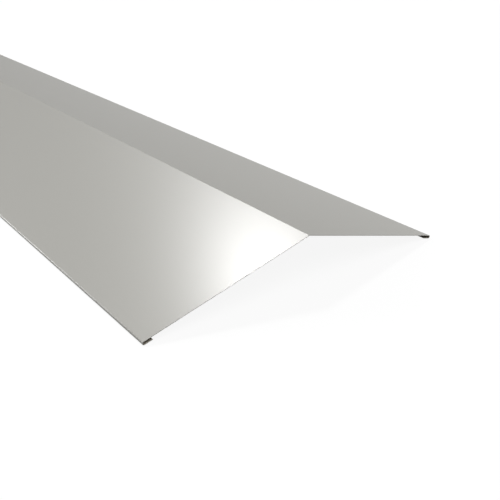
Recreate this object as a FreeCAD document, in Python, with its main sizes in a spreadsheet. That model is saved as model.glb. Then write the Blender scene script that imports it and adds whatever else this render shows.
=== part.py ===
"""Roof ridge cap: one strip of coated steel, bent along the ridge, with an open hem under each eave.

Millimetres. +X runs across the roof, +Y along the ridge and +Z up. The origin lies under the middle
of the ridge, on the level that the two hems rest on.
"""

import FreeCAD, Part
import Sketcher
import math
import os

# Driving sizes: alias, value and what it measures
SIZES = (
    ("cap_length", "2000", "length along the ridge"),
    ("wing_width", "150", "down the slope, from the sharp ridge corner to the outside of the hem fold"),
    ("roof_pitch", "15", "fall of each wing below the horizontal, in degrees"),
    ("sheet_thickness", "0.4", "steel strip with its coats"),
    ("ridge_bend_radius", "0.5", "inside radius of the ridge bend"),
    ("hem_return", "8", "from the outside of the hem fold to the tip of the return"),
    ("hem_gap", "2.1", "clear height between the wing and the return"),
)

# Names for the sketcher's own numbers
START, END, CENTRE = 1, 2, 3
FLOOR_LINE, RIDGE_LINE = -1, -2
AS_CONSTRUCTION = True


def add_sizes(doc):
    """The spreadsheet of driving sizes, one named cell to a row."""
    sheet = doc.addObject("Spreadsheet::Sheet", "Sizes")
    for row, (alias, value, meaning) in enumerate(SIZES, start=1):
        sheet.set(f"A{row}", alias)
        sheet.set(f"B{row}", value)
        sheet.set(f"C{row}", meaning)
        sheet.setAlias(f"B{row}", alias)
    doc.recompute()
    return sheet


def origin_plane(body, role):
    """One of a body's own origin planes."""
    return next(plane for plane in body.Origin.OriginFeatures if plane.Role == role)


def attach_sketch(body, name, role):
    """A new sketch of the body, flat on one of its origin planes."""
    sketch = body.newObject("Sketcher::SketchObject", name)
    sketch.AttachmentSupport = [(origin_plane(body, role), "")]
    sketch.MapMode = "FlatFace"
    return sketch


def draw_half_section(sketch, sizes):
    """Outline of the folded sheet on the right of the ridge, drawn about where its constraints hold it.

    The sketch's first axis is +X and its second +Z. Returns each line and arc by name.
    """
    pitch = math.radians(sizes.roof_pitch)
    down_wing = FreeCAD.Vector(math.cos(pitch), -math.sin(pitch), 0)
    off_roof = FreeCAD.Vector(math.sin(pitch), math.cos(pitch), 0)
    facing = FreeCAD.Vector(0, 0, 1)
    hem_inside = sizes.hem_gap / 2
    hem_outside = hem_inside + sizes.sheet_thickness
    ridge_inside = sizes.ridge_bend_radius
    ridge_outside = ridge_inside + sizes.sheet_thickness

    # The fold stands on the floor line, and the wing rises from it to the sharp corner on the ridge line
    to_fold = down_wing * (sizes.wing_width - hem_outside) - off_roof * hem_outside
    apex = FreeCAD.Vector(0, hem_outside - to_fold.y, 0)
    fold_centre = apex + to_fold
    bend_centre = apex - FreeCAD.Vector(0, ridge_outside / math.cos(pitch), 0)
    tip_foot = fold_centre + down_wing * (hem_outside - sizes.hem_return)
    fold_limit = fold_centre + down_wing * hem_outside

    wing_side = math.pi / 2 - pitch
    return_side = -math.pi / 2 - pitch

    def line(start, end, construction=False):
        return sketch.addGeometry(Part.LineSegment(start, end), construction)

    def arc(centre, radius, first_angle, last_angle):
        circle = Part.Circle(centre, facing, radius)
        return sketch.addGeometry(Part.ArcOfCircle(circle, first_angle, last_angle), False)

    return {
        "bend_outside": arc(bend_centre, ridge_outside, wing_side, math.pi / 2),
        "wing_outside": line(
            bend_centre + off_roof * ridge_outside,
            fold_centre + off_roof * hem_outside,
        ),
        "fold_outside": arc(fold_centre, hem_outside, return_side, wing_side),
        "return_outside": line(
            fold_centre - off_roof * hem_outside,
            tip_foot - off_roof * hem_outside,
        ),
        "return_tip": line(
            tip_foot - off_roof * hem_outside,
            tip_foot - off_roof * hem_inside,
        ),
        "return_inside": line(
            tip_foot - off_roof * hem_inside,
            fold_centre - off_roof * hem_inside,
        ),
        "fold_inside": arc(fold_centre, hem_inside, return_side, wing_side),
        "wing_inside": line(
            fold_centre + off_roof * hem_inside,
            bend_centre + off_roof * ridge_inside,
        ),
        "bend_inside": arc(bend_centre, ridge_inside, wing_side, math.pi / 2),
        "ridge_cut": line(
            bend_centre + FreeCAD.Vector(0, ridge_inside, 0),
            bend_centre + FreeCAD.Vector(0, ridge_outside, 0),
        ),
        "apex": sketch.addGeometry(Part.Point(apex), AS_CONSTRUCTION),
        "fold_limit": line(
            fold_limit + off_roof * hem_outside,
            fold_limit - off_roof * hem_outside,
            AS_CONSTRUCTION,
        ),
    }


def constrain_half_section(sketch, edges, sizes):
    """Holds the outline together and binds its measures to the spreadsheet."""

    def hold(kind, *what):
        return sketch.addConstraint(Sketcher.Constraint(kind, *what))

    def measure(name, formula, kind, *what):
        sketch.renameConstraint(hold(kind, *what), name)
        sketch.setExpression(f"Constraints.{name}", formula)

    # Flats run smoothly into the bends
    for flat, flat_end, bend, bend_end in (
        ("wing_outside", START, "bend_outside", START),
        ("wing_outside", END, "fold_outside", END),
        ("return_outside", START, "fold_outside", START),
        ("return_inside", END, "fold_inside", START),
        ("wing_inside", START, "fold_inside", END),
        ("wing_inside", END, "bend_inside", START),
    ):
        hold("Tangent", edges[flat], flat_end, edges[bend], bend_end)
    for first, first_end, second, second_end in (
        ("return_outside", END, "return_tip", START),
        ("return_tip", END, "return_inside", START),
        ("bend_inside", END, "ridge_cut", START),
        ("ridge_cut", END, "bend_outside", END),
        ("bend_outside", CENTRE, "bend_inside", CENTRE),
        ("fold_outside", CENTRE, "fold_inside", CENTRE),
    ):
        hold("Coincident", edges[first], first_end, edges[second], second_end)

    # The sheet keeps one thickness, and the return lies parallel to the wing
    hold("Perpendicular", edges["return_outside"], edges["return_tip"])
    hold("Parallel", edges["return_outside"], edges["return_inside"])
    hold("Parallel", edges["wing_outside"], edges["wing_inside"])
    hold("Parallel", edges["wing_outside"], edges["return_outside"])

    # The bend is centred under the ridge, and the fold stands on the floor
    for name, point in (
        ("bend_outside", CENTRE),
        ("ridge_cut", START),
        ("ridge_cut", END),
        ("apex", START),
    ):
        hold("PointOnObject", edges[name], point, RIDGE_LINE)
    hold("PointOnObject", edges["apex"], START, edges["wing_outside"])
    hold("Tangent", edges["fold_outside"], FLOOR_LINE)

    # The limit line squares off the fold, and the two widths are measured from it
    hold("Perpendicular", edges["wing_outside"], edges["fold_limit"])
    hold("PointOnObject", edges["fold_limit"], START, edges["wing_outside"])
    hold("PointOnObject", edges["fold_limit"], END, edges["return_outside"])
    hold("Tangent", edges["fold_limit"], edges["fold_outside"])

    wing, tip, limit = edges["wing_outside"], edges["return_tip"], edges["fold_limit"]
    half_gap, bend_radius = sizes.hem_gap / 2, sizes.ridge_bend_radius
    measure("wing_width", "Sizes.wing_width", "Distance", edges["apex"], START, limit, sizes.wing_width)
    measure("hem_return", "Sizes.hem_return", "Distance", tip, START, limit, sizes.hem_return)
    measure("hem_radius", "Sizes.hem_gap / 2", "Radius", edges["fold_inside"], half_gap)
    measure("bend_radius", "Sizes.ridge_bend_radius", "Radius", edges["bend_inside"], bend_radius)
    measure("thickness", "Sizes.sheet_thickness", "Distance", tip, sizes.sheet_thickness)
    measure("fall", "-Sizes.roof_pitch * 1 deg", "Angle", wing, -math.radians(sizes.roof_pitch))


def add_ridge_cap(doc, sizes):
    """The folded sheet: half its section, drawn along the ridge and mirrored across it."""
    body = doc.addObject("PartDesign::Body", "RidgeCap")
    body.Label = "ridge_cap"

    section = attach_sketch(body, "HalfSection", "XZ_Plane")
    edges = draw_half_section(section, sizes)
    constrain_half_section(section, edges, sizes)
    doc.recompute()

    half = body.newObject("PartDesign::Pad", "RightHalf")
    half.Profile = section
    half.SideType = "Symmetric"
    half.setExpression("Length", "Sizes.cap_length")
    doc.recompute()

    whole = body.newObject("PartDesign::Mirrored", "BothHalves")
    whole.Originals = [half]
    whole.MirrorPlane = (origin_plane(body, "YZ_Plane"), [""])
    whole.Refine = True
    body.Tip = whole
    body.Placement = FreeCAD.Placement()
    doc.recompute()

    if not section.FullyConstrained:
        raise RuntimeError("the half section isn't fully constrained")
    return body


def check(doc, bodies):
    """Stops before anything is written if an object failed, or a piece isn't one sound solid."""
    for item in doc.Objects:
        if {"Invalid", "Error"} & set(item.State):
            raise RuntimeError(f"{item.Label} failed: {item.State}")
    for body in bodies:
        shape = body.Shape
        if shape.isNull() or not shape.isValid() or len(shape.Solids) != 1:
            raise RuntimeError(f"{body.Label} isn't one valid solid")


def main():
    doc = FreeCAD.newDocument("RidgeCap")
    sizes = add_sizes(doc)
    bodies = [add_ridge_cap(doc, sizes)]
    check(doc, bodies)

    os.makedirs("parts", exist_ok=True)
    for body in bodies:
        body.Shape.exportStep(f"parts/{body.Label}.step")
        print(body.Label, body.Shape.BoundBox, f"volume {body.Shape.Volume:.1f}")


main()
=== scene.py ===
"""Roof ridge cap: one folded strip of coated steel in its finishes, on a plain white studio floor.

Laid out as an add-on: the sizes and colours are properties, each step is an operator, and main()
runs them in order. Lengths are in metres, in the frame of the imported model: +X across the roof,
+Y along the ridge and +Z up, with the hems resting on the floor.
"""

import math

import bmesh
import bpy
from bpy.props import FloatProperty, FloatVectorProperty, IntProperty, PointerProperty
from mathutils import Matrix, Vector


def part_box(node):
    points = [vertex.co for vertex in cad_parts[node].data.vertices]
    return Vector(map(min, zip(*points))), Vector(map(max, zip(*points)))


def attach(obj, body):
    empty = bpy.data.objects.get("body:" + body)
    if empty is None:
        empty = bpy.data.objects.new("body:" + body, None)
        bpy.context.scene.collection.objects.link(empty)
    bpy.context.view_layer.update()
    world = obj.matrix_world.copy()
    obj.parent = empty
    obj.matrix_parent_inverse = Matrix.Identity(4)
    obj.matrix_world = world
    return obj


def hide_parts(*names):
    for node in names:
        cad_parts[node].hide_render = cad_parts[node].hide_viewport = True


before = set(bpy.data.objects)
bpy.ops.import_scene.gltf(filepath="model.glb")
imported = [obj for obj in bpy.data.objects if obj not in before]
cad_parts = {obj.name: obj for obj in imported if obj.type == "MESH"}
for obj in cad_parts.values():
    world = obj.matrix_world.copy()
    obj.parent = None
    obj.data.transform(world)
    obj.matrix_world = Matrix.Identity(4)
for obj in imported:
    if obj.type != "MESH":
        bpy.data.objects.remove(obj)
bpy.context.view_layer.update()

bl_info = {
    "name": "Roof Ridge Cap",
    "version": (1, 0, 0),
    "blender": (4, 5, 0),
    "location": "View3D > Sidebar > Ridge Cap",
    "description": "Folds a sheet-metal ridge cap in its coats and sets it on a plain studio floor",
    "category": "Object",
}

CAP_NODE = "ridge_cap"
CAP_BODY = "root"

MM = 0.001
MICRON = 0.000001
CAP_LOW, CAP_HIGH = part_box(CAP_NODE)
# Two places closer than this are the same place
SAME_PLACE = 0.01 * MM

# Edges sharper than the first angle get an arris, and those sharper than the second aren't smoothed
ARRIS_ANGLE = math.radians(60)
SMOOTH_ANGLE = math.radians(40)
ARRIS_STEPS = 2

# Noise cells to the metre across, along and up the strip: the roller leaves its lines along it,
# and the shear its marks through the thickness
TOPCOAT_LINES = (420, 1.2, 420)
BACKING_LINES = (260, 2, 260)
BLADE_MARKS = (5200, 900, 500)
# Noise cells to the metre of the patterns that run no way
TOPCOAT_CLOUDS = 9
TOPCOAT_PEEL = 650
BACKING_CLOUDS = 14
# Octaves of noise in the patterns, where they aren't the usual number
USUAL_DETAIL = 2
TOPCOAT_LINES_DETAIL = 3
TOPCOAT_PEEL_DETAIL = 1
BACKING_LINES_DETAIL = 4
BACKING_CLOUDS_DETAIL = 3
# Part of each coat's tone that its roller lines give, and its clouds the rest
TOPCOAT_LINES_SHARE = 0.5
BACKING_LINES_SHARE = 0.6
# Depths of the patterns in the surface
PEEL_DEPTH = 0.6 * MICRON
BACKING_LINES_DEPTH = 3 * MICRON
BLADE_MARKS_DEPTH = 5 * MICRON
# Share of the cut edge that shows as bare metal
CUT_EDGE_METAL = 0.3
# A Mix node has sockets for each kind of data, so its two colours and their mix go by number
MIX_FIRST, MIX_SECOND = 6, 7
MIX_RESULT = 2

WHITE = (1.0, 1.0, 1.0, 1.0)
# Width of the camera's frame, in millimetres
FRAME_WIDTH = 36


class SheetSizes(bpy.types.PropertyGroup):
    """Sizes of the folded strip, where the frame's box doesn't already give them."""

    length: FloatProperty(
        name="Length",
        description="Length along the ridge",
        default=CAP_HIGH.y - CAP_LOW.y,
        unit="LENGTH",
    )
    half_span: FloatProperty(
        name="Half span",
        description="From the middle of the ridge out to the outside of a hem, level",
        default=CAP_HIGH.x,
        unit="LENGTH",
    )
    fall: FloatProperty(
        name="Fall",
        description="Slope of each wing below the horizontal",
        default=math.radians(15),
        subtype="ANGLE",
        unit="ROTATION",
    )
    thickness: FloatProperty(
        name="Sheet thickness",
        description="Steel strip with its coats",
        default=0.4 * MM,
        unit="LENGTH",
        precision=5,
    )
    bend_radius: FloatProperty(
        name="Ridge bend radius",
        description="Inside radius of the bend along the ridge",
        default=0.5 * MM,
        unit="LENGTH",
        precision=5,
    )
    hem_return: FloatProperty(
        name="Hem return",
        description="From the outside of the hem fold to the tip that is turned under",
        default=8 * MM,
        unit="LENGTH",
        precision=5,
    )
    hem_gap: FloatProperty(
        name="Hem gap",
        description="Clear height between the wing and the part that is turned under",
        default=2.1 * MM,
        unit="LENGTH",
        precision=5,
    )
    arris: FloatProperty(
        name="Arris",
        description="Rounding that the shear leaves on the cut edges",
        default=0.06 * MM,
        unit="LENGTH",
        precision=6,
    )
    fold_steps: IntProperty(
        name="Fold steps",
        description="Flats round the half turn of a hem fold",
        default=20,
        min=4,
    )
    bend_steps: IntProperty(
        name="Bend steps",
        description="Flats from the top of the ridge bend to one wing",
        default=4,
        min=1,
    )
    length_cuts: IntProperty(
        name="Length cuts",
        description="Cuts across the strip that keep its faces short",
        default=39,
        min=0,
    )


class CoatFinishes(bpy.types.PropertyGroup):
    """Colours and gloss of the coats and of the sheared edge."""

    topcoat: FloatVectorProperty(
        name="Topcoat",
        description="Light warm grey of the outside",
        default=(0.405, 0.399, 0.372),
        subtype="COLOR",
    )
    topcoat_swing: FloatProperty(
        name="Topcoat swing",
        description="Share by which the outside strays in tone, up and down",
        default=0.015,
        subtype="FACTOR",
    )
    topcoat_roughness: FloatProperty(
        name="Topcoat roughness",
        description="Satin gloss of the outside",
        default=0.29,
        subtype="FACTOR",
    )
    topcoat_gloss_swing: FloatProperty(
        name="Topcoat gloss swing",
        description="How far the outside's roughness strays, up and down",
        default=0.01,
        subtype="FACTOR",
    )
    topcoat_specular: FloatProperty(
        name="Topcoat specular",
        description="Level of mirror reflection that the matting agent in the outside coat leaves",
        default=0.25,
        subtype="FACTOR",
    )
    backing: FloatVectorProperty(
        name="Backing coat",
        description="Beige grey of the thin coat on the underside",
        default=(0.46, 0.425, 0.355),
        subtype="COLOR",
    )
    backing_swing: FloatProperty(
        name="Backing swing",
        description="Share by which the underside strays in tone, up and down",
        default=0.08,
        subtype="FACTOR",
    )
    backing_roughness: FloatProperty(
        name="Backing roughness",
        description="Flat gloss of the underside",
        default=0.6,
        subtype="FACTOR",
    )
    backing_gloss_swing: FloatProperty(
        name="Backing gloss swing",
        description="How far the underside's roughness strays, up and down",
        default=0.05,
        subtype="FACTOR",
    )
    backing_specular: FloatProperty(
        name="Backing specular",
        description="Level of mirror reflection that is left on the flat underside",
        default=0.05,
        subtype="FACTOR",
    )
    cut_edge: FloatVectorProperty(
        name="Cut edge",
        description="Sheared steel with its zinc drawn over it",
        default=(0.45, 0.44, 0.41),
        subtype="COLOR",
    )
    cut_edge_swing: FloatProperty(
        name="Cut edge swing",
        description="Share by which the blade's marks stray in tone, up and down",
        default=0.2,
        subtype="FACTOR",
    )
    cut_edge_roughness: FloatProperty(
        name="Cut edge roughness",
        description="Dull gloss of the sheared steel",
        default=0.5,
        subtype="FACTOR",
    )
    cut_edge_gloss_swing: FloatProperty(
        name="Cut edge gloss swing",
        description="How far the cut edge's roughness strays, up and down",
        default=0.1,
        subtype="FACTOR",
    )


class StudioStage(bpy.types.PropertyGroup):
    """Floor, light and camera."""

    floor_size: FloatProperty(
        name="Floor size",
        description="Side of the floor",
        default=80,
        unit="LENGTH",
    )
    floor_own: FloatProperty(
        name="Floor reflectance",
        description="Share of the light that the floor throws back, and so how deep its shadow is",
        default=0.1,
        subtype="FACTOR",
    )
    floor_white: FloatProperty(
        name="Floor white",
        description="White that the floor shows besides, to the camera and mirrored in the coat",
        default=0.91,
        subtype="FACTOR",
    )
    all_round: FloatProperty(
        name="Light all round",
        description="Even soft light",
        default=0.1,
    )
    backdrop: FloatProperty(
        name="Backdrop grey",
        description="Plain grey past the floor, as the camera sees it and the coat mirrors it",
        default=0.24,
        subtype="FACTOR",
    )
    fill_from: FloatVectorProperty(
        name="Fill lamp from",
        description="Direction to the fill lamp, high in front of the cap and to its left",
        default=(-0.27, -0.42, 0.87),
        subtype="DIRECTION",
    )
    fill_strength: FloatProperty(
        name="Fill strength",
        description="Light of the fill lamp",
        default=1.46,
    )
    fill_spread: FloatProperty(
        name="Fill spread",
        description="Angle that the fill lamp fills, wide for soft shadows",
        default=math.radians(50),
        subtype="ANGLE",
        unit="ROTATION",
    )
    key_from: FloatVectorProperty(
        name="Key lamp from",
        description="Direction to the key lamp, high behind the cap and to its right",
        default=(0.2334, 0.6652, 0.7092),
        subtype="DIRECTION",
    )
    key_strength: FloatProperty(
        name="Key strength",
        description="Light of the key lamp",
        default=1.555,
    )
    key_spread: FloatProperty(
        name="Key spread",
        description="Angle that the key lamp fills, which softens its shadow",
        default=math.radians(8),
        subtype="ANGLE",
        unit="ROTATION",
    )
    edge_from: FloatVectorProperty(
        name="Edge lamp from",
        description="Direction to the edge lamp, low behind the cap and to its left",
        default=(-0.3, 0.882, 0.36),
        subtype="DIRECTION",
    )
    edge_strength: FloatProperty(
        name="Edge strength",
        description="Light of the edge lamp",
        default=1.45,
    )
    edge_spread: FloatProperty(
        name="Edge spread",
        description="Angle that the edge lamp fills, wide for an even line along the hem fold",
        default=math.radians(28),
        subtype="ANGLE",
        unit="ROTATION",
    )
    eye: FloatVectorProperty(
        name="Camera place",
        description="In front of the near end, to the left of the ridge",
        default=(-0.32493, -1.35029, 0.25615),
        subtype="TRANSLATION",
        unit="LENGTH",
    )
    turn: FloatProperty(
        name="Camera turn",
        description="From along the ridge towards the right",
        default=math.radians(37.523),
        subtype="ANGLE",
        unit="ROTATION",
    )
    dip: FloatProperty(
        name="Camera dip",
        description="Below the horizontal",
        default=math.radians(25.5602),
        subtype="ANGLE",
        unit="ROTATION",
    )
    roll: FloatProperty(
        name="Camera roll",
        description="About the line of sight",
        default=math.radians(0.5286),
        subtype="ANGLE",
        unit="ROTATION",
    )
    lens: FloatProperty(
        name="Lens",
        description="Focal length on a 36 mm frame",
        default=50.297,
        unit="CAMERA",
    )


class Wire:
    """A shader socket that carries a value, so that sums of wires and numbers add Math nodes."""

    def __init__(self, shader, socket):
        self.shader = shader
        self.socket = socket

    def math(self, operation, *terms):
        return self.shader.add("ShaderNodeMath", {"operation": operation}, dict(enumerate(terms)))

    def __add__(self, other):
        return self.math("ADD", self, other)

    def __radd__(self, other):
        return self.math("ADD", other, self)

    def __sub__(self, other):
        return self.math("SUBTRACT", self, other)

    def __rsub__(self, other):
        return self.math("SUBTRACT", other, self)

    def __mul__(self, other):
        return self.math("MULTIPLY", self, other)

    def __rmul__(self, other):
        return self.math("MULTIPLY", other, self)


class Shader:
    """The empty node tree of a material or world, filled by one method."""

    def __init__(self, owner):
        owner.use_nodes = True
        self.tree = owner.node_tree
        self.tree.nodes.clear()

    def add(self, kind, settings=(), sockets=(), output=0):
        """Adds a node: first its settings, then its sockets' values or wires. Returns an output."""
        node = self.tree.nodes.new(kind)
        for name, value in dict(settings).items():
            setattr(node, name, value)
        for key, value in dict(sockets).items():
            if isinstance(value, Wire):
                self.tree.links.new(value.socket, node.inputs[key])
            else:
                node.inputs[key].default_value = value
        return Wire(self, node.outputs[output]) if node.outputs else None

    def object_place(self):
        return self.add("ShaderNodeTexCoord", output="Object")

    def stretched(self, place, scale):
        return self.add("ShaderNodeMapping", {}, {"Vector": place, "Scale": scale})

    def noise(self, place, scale=1, detail=USUAL_DETAIL):
        sockets = {"Vector": place, "Scale": scale, "Detail": detail}
        return self.add("ShaderNodeTexNoise", {}, sockets)

    def uneven(self, colour, swing, tone):
        """A colour that strays by a share, down where the tone is 0 and up where it is 1."""
        dark, light = (opaque(shade(colour, factor)) for factor in (1 - swing, 1 + swing))
        return self.add(
            "ShaderNodeMix",
            {"data_type": "RGBA"},
            {"Factor": tone, MIX_FIRST: dark, MIX_SECOND: light},
            output=MIX_RESULT,
        )

    def seen(self):
        """1 for rays that reach the eye straight or by way of metal or glass, and 0 for others."""
        camera_ray, glossy_ray, through_ray = (
            self.add("ShaderNodeLightPath", output=name)
            for name in ("Is Camera Ray", "Is Glossy Ray", "Is Transmission Ray")
        )
        rays = camera_ray + glossy_ray + through_ray
        return rays.math("MINIMUM", rays, 1)

    def bump(self, height, depth):
        return self.add("ShaderNodeBump", {}, {"Height": height, "Distance": depth})


def opaque(colour):
    """A colour with the alpha that sockets ask for."""
    return (*colour, 1.0)


def shade(colour, factor):
    """A colour made darker or lighter."""
    return tuple(channel * factor for channel in colour)


def swung(middle, swing, tone):
    """A value that strays either way from its middle, as a tone goes from 0 to 1."""
    return middle - swing + tone * (2 * swing)


def new_finish(name):
    """A new material with an empty node tree."""
    material = bpy.data.materials.new(name)
    return material, Shader(material)


def topcoat_finish(finishes):
    """Satin coil coat: even grey, faint roller lines along the strip and the least orange peel."""
    material, shader = new_finish("satin_topcoat")
    place = shader.object_place()
    roller_lines = shader.noise(shader.stretched(place, TOPCOAT_LINES), detail=TOPCOAT_LINES_DETAIL)
    clouds = shader.noise(place, scale=TOPCOAT_CLOUDS)
    peel = shader.noise(place, scale=TOPCOAT_PEEL, detail=TOPCOAT_PEEL_DETAIL)
    tone = roller_lines * TOPCOAT_LINES_SHARE + clouds * (1 - TOPCOAT_LINES_SHARE)
    roughness = swung(finishes.topcoat_roughness, finishes.topcoat_gloss_swing, roller_lines)
    surface = shader.add(
        "ShaderNodeBsdfPrincipled",
        {},
        {
            "Base Color": shader.uneven(finishes.topcoat, finishes.topcoat_swing, tone),
            "Roughness": roughness,
            "Specular IOR Level": finishes.topcoat_specular,
            "Normal": shader.bump(peel, PEEL_DEPTH),
        },
    )
    shader.add("ShaderNodeOutputMaterial", {}, {"Surface": surface})
    return material


def backing_finish(finishes):
    """Thin flat coat of the underside, uneven enough for its roller lines to show."""
    material, shader = new_finish("backing_coat")
    place = shader.object_place()
    roller_lines = shader.noise(shader.stretched(place, BACKING_LINES), detail=BACKING_LINES_DETAIL)
    clouds = shader.noise(place, scale=BACKING_CLOUDS, detail=BACKING_CLOUDS_DETAIL)
    tone = roller_lines * BACKING_LINES_SHARE + clouds * (1 - BACKING_LINES_SHARE)
    roughness = swung(finishes.backing_roughness, finishes.backing_gloss_swing, clouds)
    surface = shader.add(
        "ShaderNodeBsdfPrincipled",
        {},
        {
            "Base Color": shader.uneven(finishes.backing, finishes.backing_swing, tone),
            "Roughness": roughness,
            "Specular IOR Level": finishes.backing_specular,
            "Normal": shader.bump(roller_lines, BACKING_LINES_DEPTH),
        },
    )
    shader.add("ShaderNodeOutputMaterial", {}, {"Surface": surface})
    return material


def cut_edge_finish(finishes):
    """Sheared steel: dull, with fine marks of the blade through its thickness."""
    material, shader = new_finish("sheared_edge")
    place = shader.object_place()
    blade_marks = shader.noise(shader.stretched(place, BLADE_MARKS))
    roughness = swung(finishes.cut_edge_roughness, finishes.cut_edge_gloss_swing, blade_marks)
    surface = shader.add(
        "ShaderNodeBsdfPrincipled",
        {},
        {
            "Base Color": shader.uneven(finishes.cut_edge, finishes.cut_edge_swing, blade_marks),
            "Metallic": CUT_EDGE_METAL,
            "Roughness": roughness,
            "Normal": shader.bump(blade_marks, BLADE_MARKS_DEPTH),
        },
    )
    shader.add("ShaderNodeOutputMaterial", {}, {"Surface": surface})
    return material


def start_piece(context, name):
    """A one-metre square lying level at the origin, alone selected, as the start of a piece."""
    bpy.ops.object.select_all(action="DESELECT")
    bpy.ops.mesh.primitive_plane_add(size=1)
    piece = context.object
    piece.name = name
    piece.data.name = name
    return piece


def select_edges(piece, wanted):
    """In edit mode, selects the edges that are wanted for where their two ends lie."""
    bpy.ops.mesh.select_all(action="DESELECT")
    mesh = bmesh.from_edit_mesh(piece.data)
    for edge in mesh.edges:
        start, end = edge.verts
        edge.select_set(wanted(start.co, end.co))
    bmesh.update_edit_mesh(piece.data)


def runs_along(start, end):
    """Whether an edge runs along the strip."""
    return abs(start.x - end.x) < SAME_PLACE


def lies_at(x):
    """A test for the edges that lie along the strip at this distance across it."""
    return lambda start, end: max(abs(start.x - x), abs(end.x - x)) < SAME_PLACE


def finish_with(piece, name, kind, **settings):
    """Adds a modifier with these settings and applies it."""
    modifier = piece.modifiers.new(name, kind)
    for setting, value in settings.items():
        setattr(modifier, setting, value)
    bpy.ops.object.modifier_apply(modifier=name)


def fold_half(piece, sizes):
    """Shapes the square into the outside skin of the right wing, its hem and half the ridge bend.

    The wing is folded while it lies level, with the ridge end of its flat at the origin. It is then
    turned down to its slope about the middle of the ridge bend, and lifted until the ridge meets
    the frame's top.
    """
    hem_outside = sizes.hem_gap / 2 + sizes.thickness
    ridge_outside = sizes.bend_radius + sizes.thickness
    drop = ridge_outside - hem_outside
    reach = sizes.half_span - hem_outside
    flat = (reach - drop * math.sin(sizes.fall)) / math.cos(sizes.fall)
    back = sizes.hem_return - hem_outside
    bend_middle = Vector((0, 0, -ridge_outside))
    fold_middle = Vector((flat, 0, -hem_outside))
    along = (0, 1, 0)

    bpy.ops.object.mode_set(mode="EDIT")
    bpy.ops.mesh.select_mode(type="EDGE")
    bpy.ops.transform.resize(value=(flat, sizes.length, 1))
    bpy.ops.transform.translate(value=(flat / 2, 0, 0))

    # Short faces along the strip
    select_edges(piece, runs_along)
    bpy.ops.mesh.subdivide(number_cuts=sizes.length_cuts)

    # Hem: half a turn under the eave, then straight back to its tip
    select_edges(piece, lies_at(flat))
    bpy.ops.mesh.spin(steps=sizes.fold_steps, angle=-math.pi, center=fold_middle, axis=along)
    bpy.ops.mesh.extrude_edges_move(TRANSFORM_OT_translate={"value": (-back, 0, 0)})

    # Ridge: half of the bend
    select_edges(piece, lies_at(0))
    bpy.ops.mesh.spin(steps=sizes.bend_steps, angle=sizes.fall, center=bend_middle, axis=along)

    bpy.ops.mesh.select_all(action="SELECT")
    bpy.ops.transform.rotate(value=-sizes.fall, orient_axis="Y", center_override=bend_middle)
    bpy.ops.transform.translate(value=(0, 0, CAP_HIGH.z))
    bpy.ops.object.mode_set(mode="OBJECT")


def face_outwards(piece):
    """Merges the seam at the ridge and turns every face of the skin outwards."""
    bpy.ops.object.mode_set(mode="EDIT")
    bpy.ops.mesh.select_all(action="SELECT")
    bpy.ops.mesh.remove_doubles(threshold=SAME_PLACE)
    bpy.ops.mesh.normals_make_consistent(inside=False)
    bpy.ops.object.mode_set(mode="OBJECT")
    wing_top = max(piece.data.polygons, key=lambda face: face.area)
    if wing_top.normal.z < 0:
        raise RuntimeError("the wings' tops face down, so the sheet would thicken the wrong way")


class RIDGECAP_OT_fold_sheet(bpy.types.Operator):
    """Fold the strip: two wings, the ridge bend and an open hem under each eave"""

    bl_idname = "ridge_cap.fold_sheet"
    bl_label = "Fold the sheet"

    def execute(self, context):
        sizes = context.scene.ridge_cap_sizes
        finishes = context.scene.ridge_cap_finishes
        piece = start_piece(context, "folded_sheet")
        fold_half(piece, sizes)
        finish_with(
            piece,
            "other_wing",
            "MIRROR",
            use_axis=(True, False, False),
            merge_threshold=SAME_PLACE,
        )
        face_outwards(piece)

        # The first finish is the outside's, the second the underside's and the third the cut edges'
        for make_finish in (topcoat_finish, backing_finish, cut_edge_finish):
            piece.data.materials.append(make_finish(finishes))
        finish_with(
            piece,
            "sheet",
            "SOLIDIFY",
            thickness=sizes.thickness,
            offset=-1,
            use_even_offset=True,
            material_offset=1,
            material_offset_rim=2,
        )
        finish_with(
            piece,
            "arris",
            "BEVEL",
            width=sizes.arris,
            segments=ARRIS_STEPS,
            limit_method="ANGLE",
            angle_limit=ARRIS_ANGLE,
        )
        bpy.ops.object.shade_smooth_by_angle(angle=SMOOTH_ANGLE)
        finish_with(piece, "flats", "WEIGHTED_NORMAL", keep_sharp=True)

        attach(piece, CAP_BODY)
        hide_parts(CAP_NODE)
        return {"FINISHED"}


def lay_floor(context, stage):
    """A white floor that shows the object's shadow lightly."""
    floor = start_piece(context, "studio_floor")
    floor.scale = (stage.floor_size, stage.floor_size, 1)
    floor.location.z = CAP_LOW.z
    bpy.ops.object.transform_apply(location=True, rotation=True, scale=True)

    material, shader = new_finish("white_floor")
    own = shader.add("ShaderNodeBsdfDiffuse", {}, {"Color": opaque([stage.floor_own] * 3)})
    white = shader.add("ShaderNodeEmission", {}, {"Color": shader.seen() * stage.floor_white})
    surface = shader.add("ShaderNodeAddShader", {}, {0: own, 1: white})
    shader.add("ShaderNodeOutputMaterial", {}, {"Surface": surface})
    floor.data.materials.append(material)


def hang_lamp(context, name, toward, strength, spread):
    """A lamp far off in one direction, as wide as its spread."""
    facing = Vector(toward).to_track_quat("Z", "Y")
    bpy.ops.object.light_add(type="SUN", location=toward, rotation=facing.to_euler())
    lamp = context.object
    lamp.name = name
    lamp.data.energy = strength
    lamp.data.angle = spread


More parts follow.
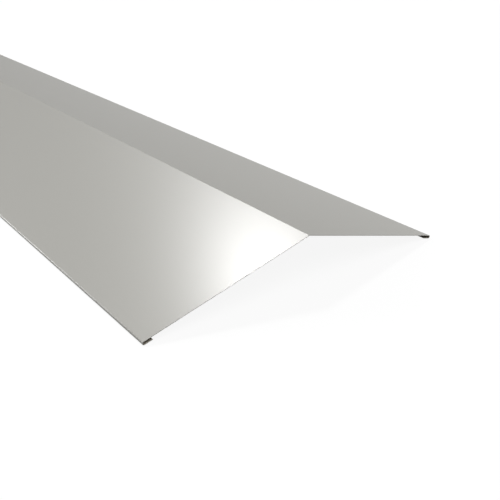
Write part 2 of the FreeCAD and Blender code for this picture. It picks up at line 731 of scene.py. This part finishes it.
def hang_lights(context, stage):
    """Even light all round, a wide fill lamp overhead in front and two lamps behind the cap.

    The world shows a paler grey than the light it gives. The key lamp makes the bright patch on the
    near wing, and the edge lamp the fine line along its hem.
    """
    world = bpy.data.worlds.new("studio_light")
    context.scene.world = world
    shader = Shader(world)
    strength = stage.all_round + shader.seen() * (stage.backdrop - stage.all_round)
    light = shader.add("ShaderNodeBackground", {}, {"Color": WHITE, "Strength": strength})
    shader.add("ShaderNodeOutputWorld", {}, {"Surface": light})

    hang_lamp(context, "fill_lamp", stage.fill_from, stage.fill_strength, stage.fill_spread)
    hang_lamp(context, "key_lamp", stage.key_from, stage.key_strength, stage.key_spread)
    hang_lamp(context, "edge_lamp", stage.edge_from, stage.edge_strength, stage.edge_spread)


def set_camera(context, stage):
    """The camera at the photograph's viewing angle."""
    aim = (
        Matrix.Rotation(-stage.turn, 4, "Z")
        @ Matrix.Rotation(math.pi / 2 - stage.dip, 4, "X")
        @ Matrix.Rotation(stage.roll, 4, "Z")
    )
    bpy.ops.object.camera_add(location=stage.eye, rotation=aim.to_euler())
    camera = context.object
    camera.data.lens = stage.lens
    camera.data.sensor_width = FRAME_WIDTH
    context.scene.camera = camera


class RIDGECAP_OT_set_stage(bpy.types.Operator):
    """Lay the floor, hang the lights and set the camera"""

    bl_idname = "ridge_cap.set_stage"
    bl_label = "Set the stage"

    def execute(self, context):
        stage = context.scene.ridge_cap_stage
        lay_floor(context, stage)
        hang_lights(context, stage)
        set_camera(context, stage)
        context.scene.view_settings.view_transform = "Standard"
        return {"FINISHED"}


class VIEW3D_PT_ridge_cap(bpy.types.Panel):
    """Ridge cap: its operators and settings"""

    bl_label = "Ridge Cap"
    bl_space_type = "VIEW_3D"
    bl_region_type = "UI"
    bl_category = "Ridge Cap"

    def draw(self, context):
        for group, operator in (
            (context.scene.ridge_cap_sizes, "ridge_cap.fold_sheet"),
            (context.scene.ridge_cap_finishes, None),
            (context.scene.ridge_cap_stage, "ridge_cap.set_stage"),
        ):
            box = self.layout.box()
            for name in group.__annotations__:
                box.prop(group, name)
            if operator:
                box.operator(operator)


CLASSES = (
    SheetSizes,
    CoatFinishes,
    StudioStage,
    RIDGECAP_OT_fold_sheet,
    RIDGECAP_OT_set_stage,
    VIEW3D_PT_ridge_cap,
)


def register():
    for cls in CLASSES:
        bpy.utils.register_class(cls)
    bpy.types.Scene.ridge_cap_sizes = PointerProperty(
        name="Sheet sizes",
        description="Sizes of the folded strip",
        type=SheetSizes,
    )
    bpy.types.Scene.ridge_cap_finishes = PointerProperty(
        name="Coat finishes",
        description="Colours and gloss of the coats and of the sheared edge",
        type=CoatFinishes,
    )
    bpy.types.Scene.ridge_cap_stage = PointerProperty(
        name="Studio stage",
        description="Floor, light and camera",
        type=StudioStage,
    )


def unregister():
    del bpy.types.Scene.ridge_cap_stage
    del bpy.types.Scene.ridge_cap_finishes
    del bpy.types.Scene.ridge_cap_sizes
    for cls in reversed(CLASSES):
        bpy.utils.unregister_class(cls)


def main():
    register()
    bpy.ops.ridge_cap.fold_sheet()
    bpy.ops.ridge_cap.set_stage()


if __name__ == "__main__":
    main()
